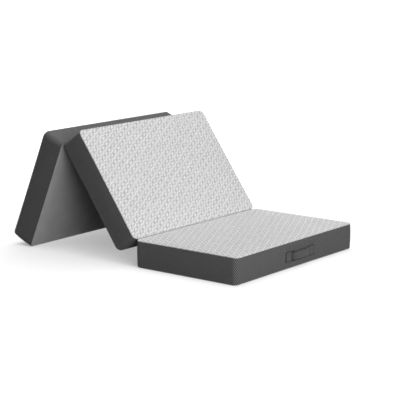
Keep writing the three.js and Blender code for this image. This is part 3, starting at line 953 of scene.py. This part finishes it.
def fold_web(fold, near, face, rise, side, material):
    """The strip in a fold, drawn round the fold's axis: the near section is on its +x side."""
    name = f"{fold}_strip"
    angle = -math.radians(joints[fold]["range_deg"][0])
    place = near.place @ Matrix.Translation((-half_pitch, 0, face + side * rise))
    x = half_pitch - length / 2 - seam_gap - web_thickness / 2
    low = np.array([x, -rise - web_depth])
    high = np.array([x, -rise - web_top - web_thickness / 2])
    leg = low + (high - low) * np.linspace(0, 1, 5)[:, None]
    cos, sin = math.cos(angle), math.sin(angle)
    far_leg = (leg @ np.array([[-cos, sin], [sin, cos]]))[::-1]
    bisector = np.array([math.sin(angle / 2), math.cos(angle / 2)])
    share = np.arange(1, 12)[:, None] / 12
    crown = bisector * (web_arch + web_thickness / 4) * np.sin(share * math.pi)
    arch = high * (1 - share) + far_leg[0] * share + crown
    line = np.concatenate([leg, arch, far_leg]) * (1, side)
    made = ribbon(name, place, banded(line, web_thickness), web_run, web_steps, material)
    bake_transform(made)
    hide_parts(f"{fold}_web")
    for row, k in (("near", len(leg) + 1), ("far", -len(leg) - 2)):
        ahead = line[k + 1] - line[k - 1]
        up = np.array([ahead[1], -ahead[0]]) / np.linalg.norm(ahead) * side
        spot = line[k] + up * web_thickness / 2
        centres = columns(spot[0], evenly(web_run, crease_pitch), spot[1])
        sewn = stitches(f"{name}_{row}_stitches", place, centres, (0, 1, 0), (up[0], 0, up[1]), crease_stitch,
                        crease_thread)
        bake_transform(sewn)


flat, middle, end = sections
fold_web("top_fold", flat, height, joints["top_fold"]["pos_m"][2] - height, 1,
         crease_tape)
fold_web("bottom_fold", middle, 0.0, bottom_rise, -1, calm_mesh)

# Handle: two sewn patches, a padded grip between them, and a short flexible leg at each end of it
patch_thickness = 0.0022
patch_radius = 0.004
patch_inner_radius = 0.0012
patch_rim = 0.0009
patch_box_margin = 0.0045
patch_base_rings = ((0.0012, 0.0), (0.0004, 0.0001), (0.0, 0.0006))
patch_top_rings = ((0.0, 0.0010), (0.0002, 0.0005), (0.0005, 0.0002))
patch_dip = 0.0004
patch_stitch_sink = 0.7
patch_dip_reach = 0.0011
patch_edge_drop = 0.0002
patch_edge_reach = 0.001
grip_length = 0.122
grip_thickness = 0.0075
grip_end_thickness = 0.0034
grip_row_margin = 0.0055
grip_row_end = 0.012
grip_dip = 0.0016
grip_dip_reach = 0.0022
grip_pucker = 0.25
grip_back_dip = 0.3
grip_hem_drop = 0.0009
grip_thread_rise = 0.0001
finger_gap = 0.0066
leg_pleat = 0.004
leg_thickness = 0.00094
strap_stitch_pitch = 0.0034
patch_stitch = (0.0026, 0.00032, 0.00026)
grip_stitch = (0.0026, 0.00034, 0.0003)
wall_draw = side_draw * (1 - ((handle_length / 2 + handle_offset) / (width / 2 - plan_radius)) ** 2)
handle_place = Matrix.Translation((length / 2 - wall_draw, handle_offset, handle_lift))
to_wall = Matrix(((0, 0, 1, 0), (1, 0, 0, 0), (0, 1, 0, 0), (0, 0, 0, 1)))


def handle_patch(name, node, end):
    """A patch of webbing, hemmed and boxed with stitches."""
    plan = Plan(patch_step, (), (patch_length, handle_height), patch_radius, patch_inner_radius)
    skin = Skin(plan)
    x, y = plan.grid(patch_rim)
    cloth = columns(x, y)
    top = seam_gap + patch_thickness
    for inset, rise in patch_base_rings:
        skin.ring(inset, seam_gap + rise, cloth[plan.loop])
    for inset, drop in patch_top_rings:
        skin.ring(inset, top - drop, cloth[plan.loop])
    skin.caps.append(skin.first[::-1])
    box_x, box_y = plan.size / 2 - patch_box_margin
    out_x, out_y = np.abs(x), np.abs(y)
    past_x, past_y = far_off * (out_x > box_x), far_off * (out_y > box_y)
    sides = np.minimum(np.abs(out_x - box_x) + past_y, np.abs(out_y - box_y) + past_x)
    cross = np.abs(out_x * box_y - out_y * box_x) / math.hypot(box_x, box_y) + past_x + past_y
    dip = patch_dip * np.exp(-(np.minimum(sides, cross) / patch_dip_reach) ** 2)
    to_edge = np.minimum(patch_length / 2 - out_x, handle_height / 2 - out_y)
    drop = patch_edge_drop * np.exp(-((to_edge - patch_edge_reach) / patch_edge_reach) ** 2)
    puff = soft_waves(x, y, patch_wander, 51 + end)
    skin.face(x, y, top - dip + np.minimum(puff, 0) - drop, cloth, up=True)
    place = handle_place @ Matrix.Translation((0, end * (handle_length - patch_length) / 2, 0)) @ to_wall
    skin.piece(name, place, "flat", patch_strap, node, "strap")
    corners = np.array([(-box_x, -box_y), (box_x, -box_y), (box_x, box_y), (-box_x, box_y)])
    rows = [spaced(line, strap_stitch_pitch, closed)
            for line, closed in ((corners, True), (corners[[0, 2]], False), (corners[[1, 3]], False))]
    places, ahead = (np.concatenate(part) for part in zip(*rows))
    sewn = stitches(f"{name}_stitches", place, columns(*places.T, top - patch_stitch_sink * patch_dip),
                    columns(*ahead.T, 0.0), (0, 0, 1), patch_stitch, thread)
    dressed(sewn, "flat")


def handle_leg(name, node, end):
    """A leg of webbing, pleated so that the grip can lift."""
    run = (handle_length - grip_length) / 2 - patch_length - 2 * seam_gap
    low = seam_gap + patch_thickness / 2
    high = finger_gap + grip_end_thickness / 2
    share = np.linspace(0, 1, leg_points)
    out = low + (high - low) * share + leg_pleat * np.sin(math.tau * share)
    line = columns(out, end * (handle_length / 2 - patch_length - seam_gap - run * share))
    upright = handle_place @ Matrix(((1, 0, 0, 0), (0, 0, 1, 0), (0, 1, 0, 0), (0, 0, 0, 1)))
    made = ribbon(name, upright, banded(line, leg_thickness), grip_height, leg_steps, grip_strap)
    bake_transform(made)
    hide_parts(node)


def handle_grip():
    """The padded grip: fullest along its middle, pressed flat along two rows of stitches."""
    half_length, half_height = grip_length / 2, grip_height / 2
    row = half_height - grip_row_margin

    def half_thickness(y):
        swell = np.sqrt(np.minimum(1, 4 * (1 - np.abs(y / half_length))))
        return (grip_end_thickness + (grip_thickness - grip_end_thickness) * swell) / 2

    def inner(y):
        """1 along the grip, falling to 0 at its ends."""
        return smooth_step(half_length - np.abs(y), 0.0, grip_row_end)

    angle = (np.arange(grip_turns) + 0.5) / grip_turns * math.tau
    up, across = (np.sign(part) * np.sqrt(np.abs(part)) for part in (np.sin(angle), np.cos(angle)))
    z, y = np.meshgrid(half_height * up, np.linspace(-half_length, half_length, grip_points))
    front = across > 0
    pinch = np.exp(-((np.abs(z) - row) / grip_dip_reach) ** 2)
    pucker = 1 + grip_pucker * np.cos(math.tau * y / strap_stitch_pitch)
    dip = grip_dip * pinch * pucker * inner(y)
    hem = grip_hem_drop * smooth_step(np.abs(z), row, half_height) * inner(y)
    dip = np.where(front, dip + hem, -grip_back_dip * dip)
    out = finger_gap + half_thickness(y) * (1 + across) - dip
    wander = soft_waves(y, z, grip_wander, 77) * front * inner(y)
    rings = np.stack([out + np.minimum(wander, 0), y, z], -1)
    made = tubes("handle_padded_grip", handle_place, rings[None], grip_strap, columns(y, z))
    dressed(made, "handle", "handle_grip")
    at = evenly(grip_length - grip_row_end, strap_stitch_pitch)
    fullness = (1 - (row / half_height) ** 4) ** 0.25
    surface = finger_gap + half_thickness(at) * (1 + fullness) - grip_dip * inner(at) + grip_thread_rise
    for name, sign in (("upper", 1), ("lower", -1)):
        sewn = stitches(f"handle_{name}_stitches", handle_place, columns(surface, at, sign * row), (0, 1, 0),
                        (1, 0, 0), grip_stitch, thread)
        dressed(sewn, "handle")


for side, end in (("near", -1), ("far", 1)):
    handle_patch(f"handle_{side}_webbing", f"handle_patch_{side}", end)
    handle_leg(f"handle_{side}_strap", f"handle_leg_{side}", end)
handle_grip()

# Zips: a woven tape, a coil of teeth sewn along it, and a stop at each end
tape_back = -0.0017
tape_front = -0.0005
tape_sag = 0.00035
tape_ridge = 0.0035
tape_groove = 0.00012
tape_groove_width = 0.0005
tape_edge_drop = 0.0002
tape_row = 0.0046
tape_row_margin = 0.002
coil_front = 0.0011
coil_width = 0.0036
tooth_pitch = 0.00115
tooth_length = 0.72 * coil_width
tooth_wide = 0.00052
tooth_sink = 0.08
stop_length = 0.003
stop_height = 0.005
stop_margin = 0.002
stop_rounding = 0.0005
slider_rounding = 0.0003
pull_rounding = 0.00035
tape_stitch_pitch = 0.0036
tape_stitch_depth = 0.0004
tape_stitch = (0.0026, 0.00026, 0.0002)
to_far_wall = Matrix.Translation((0, width / 2, zip_middle))


def zip_tape_strip(section, place):
    """The woven tape, raised along its middle under the coil, with a groove under each row of stitches."""
    z = np.linspace(-zip_half_height, zip_half_height, tape_points)
    front = tape_front - tape_sag * (1 - np.exp(-(np.abs(z) / tape_ridge) ** 4))
    front -= tape_groove * np.exp(-((np.abs(z) - tape_row) / tape_groove_width) ** 2)
    front[[0, -1]] -= tape_edge_drop
    profile = np.concatenate([columns(front, z), columns(tape_back, z)[::-1]])
    along_x = place @ Matrix(((0, 1, 0, 0), (1, 0, 0, 0), (0, 0, 1, 0), (0, 0, 0, 1)))
    made = ribbon(f"{section.name}_zip_tape", along_x, profile, zip_length, tape_steps, zip_tape)
    dressed(made, section.name, f"{section.name}_zip")


def zip_teeth(section, place):
    """The coil: teeth that lie across the tape and reach to either side in turn."""
    x = evenly(zip_length - 2 * (stop_margin + stop_length), tooth_pitch)
    side = np.where(np.arange(len(x)) % 2 == 0, 1.0, -1.0)
    high = (coil_front - tape_front) / 2
    centres = columns(x, tape_front + high, side * (coil_width - tooth_length) / 2)
    coil = stitches(f"{section.name}_zip_coil", place, centres, columns(0.0, 0.0, side), (0, 1, 0),
                    (tooth_length, tooth_wide, high), zip_coil, tooth_sink)
    dressed(coil, section.name)


def tape_stitches(section, place):
    """A row of thread along each half of the tape."""
    x = evenly(zip_length - 2 * tape_row_margin, tape_stitch_pitch)
    for row, rise in (("upper", tape_row), ("lower", -tape_row)):
        centres = columns(x, tape_front - tape_stitch_depth, rise)
        sewn = stitches(f"{section.name}_zip_{row}_stitches", place, centres, (1, 0, 0), (0, 1, 0),
                        tape_stitch, thread)
        dressed(sewn, section.name)


def rounded(piece, width, segments, angle):
    """Rounds every edge that turns by more than an angle."""
    rounding = piece.modifiers.new("rounding", "BEVEL")
    rounding.width = width
    rounding.segments = segments
    rounding.limit_method = "ANGLE"
    rounding.angle_limit = math.radians(angle)


def zip_stops(section, place):
    """A metal block across the coil at each end."""
    y = tape_front + np.array([0, 1, 1, 0]) * (coil_front - tape_front + seam_gap)
    z = np.array([-1, -1, 1, 1]) * stop_height / 2
    for end, side_name in ((-1, "left"), (1, "right")):
        outer = end * (zip_length / 2 - stop_margin)
        rings = np.stack([columns(x, y, z) for x in (outer, outer - end * stop_length)])
        stop = tubes(f"{section.name}_zip_{side_name}_stop", place, rings[None], zip_metal)
        rounded(stop, stop_rounding, 3, 30)
        dressed(stop, section.name)


for section in sections:
    for make in (zip_tape_strip, zip_teeth, tape_stitches, zip_stops):
        make(section, section.place @ to_far_wall)

# The sliders and pulls keep the frame's own forms, with their edges rounded
for section in sections:
    for part, round_by in (("zip_slider", slider_rounding), ("zip_pull", pull_rounding)):
        piece = frame["nodes"][f"{section.name}_{part}"]
        piece.data.materials.clear()
        piece.data.materials.append(zip_metal)
        rounded(piece, round_by, 2, 35)

# Camera, at the photograph's viewing angle
image_width = 400
focal_pixels = 1416.3
sensor_width = 36.0
camera_place = Vector((4.1721, -5.6445, 1.6634))
camera_azimuth = 38.391
camera_elevation = 11.008
camera_roll = -0.184


def add_camera():
    data = bpy.data.cameras.new("camera")
    data.sensor_width = sensor_width
    data.lens = focal_pixels / image_width * sensor_width
    data.clip_end = 100.0
    camera = added("camera", data)
    place = Matrix.Translation(camera_place)
    for degrees, axis in ((camera_azimuth, "Z"), (90 - camera_elevation, "X"), (camera_roll, "Z")):
        place = place @ Matrix.Rotation(math.radians(degrees), 4, axis)
    camera.matrix_world = place
    bpy.context.scene.camera = camera


# Studio
floor_size = 60.0
floor_drop = 0.0006
floor_colour = 0.48
floor_bounce = 0.17
floor_glow = 0.61
# Painted shadow on the floor: the glow is darkened by ambient occlusion, leaned to one side so that the
# shadow falls away from the lights
floor_shade = 0.33
floor_open = 0.52
floor_shade_reach = 0.55
floor_open_side = (0.16, 0.36, 0.92)
floor_near = 1.2
floor_far = 4.0
sky_strength = 0.12

# Each light: its place, what it points at, its size and its power
lights = {
    "top_light": ((-0.4, 0.9, 5.2), (-0.4, 0.1, 0.2), (4.5, 4.5), 216.0),
    "side_light": ((5.3, -1.4, 2.1), (-0.4, 0.0, 0.3), (3.0, 2.6), 125.0),
    "front_light": ((4.3, -3.5, 1.0), (-0.6, -0.4, 0.4), (2.0, 1.6), 122.0),
    "back_light": ((-4.2, 2.6, 1.4), (-0.8, 0.1, 0.3), (2.0, 1.6), 60.0),
}


def floor_material():
    """Pale, and to the camera it glows a little, so that it is white, with painted shadow: the glow dims
    where ambient occlusion, leaned toward the lights, finds the object near.
    """
    material = bpy.data.materials.new("floor")
    material.use_nodes = True
    nodes = Nodes(material.node_tree)
    nodes.tree.nodes.clear()
    colour = nodes.ramp(nodes.ray("Camera"), 0.0, 1.0, floor_bounce, floor_colour, kind="LINEAR")
    from_middle = nodes.node("VectorMath", {0: nodes.place()}, output="Value", operation="LENGTH")
    far = nodes.ramp(from_middle, floor_near, floor_far, floor_glow, 1.0)
    toward = nodes.node("CombineXYZ", dict(enumerate(floor_open_side)))
    around = nodes.node("AmbientOcclusion", {"Distance": floor_shade_reach, "Normal": toward}, output="AO")
    # Painted shadow on the floor's glow
    painted_floor_shadow = nodes.ramp(around, 0.0, floor_open, floor_shade, 1.0)
    strength = nodes.math("MULTIPLY", nodes.seen(), nodes.math("MULTIPLY", painted_floor_shadow, far))
    glow = nodes.node("Emission", {"Strength": strength})
    total = nodes.node("AddShader", {0: nodes.node("BsdfDiffuse", {"Color": colour}), 1: glow})
    nodes.put(nodes.tree.nodes.new("ShaderNodeOutputMaterial").inputs["Surface"], total)
    return material


def add_floor():
    mesh = bpy.data.meshes.new("floor")
    half = floor_size / 2
    corners = [(x, y, -floor_drop) for x, y in ((-half, -half), (half, -half), (half, half), (-half, half))]
    mesh.from_pydata(corners, [], [(0, 1, 2, 3)])
    mesh.materials.append(floor_material())
    added("floor", mesh)


def add_world():
    """Even light from all round, seen as white behind the object."""
    world = bpy.data.worlds.new("studio")
    bpy.context.scene.world = world
    world.use_nodes = True
    nodes = Nodes(world.node_tree)
    background = nodes.tree.nodes["Background"].inputs
    background["Color"].default_value = (1, 1, 1, 1)
    nodes.put(background["Strength"], nodes.ramp(nodes.seen(), 0.0, 1.0, sky_strength, 1.0, kind="LINEAR"))


def add_light(name, place, target, size, power):
    data = bpy.data.lights.new(name, "AREA")
    data.shape = "RECTANGLE"
    data.size, data.size_y = size
    data.energy = power
    light = added(name, data)
    light.location = place
    light.rotation_euler = (Vector(target) - Vector(place)).to_track_quat("-Z", "Y").to_euler()


add_camera()
add_floor()
add_world()
for name, values in lights.items():
    add_light(name, *values)
bpy.context.scene.view_settings.view_transform = "Standard"
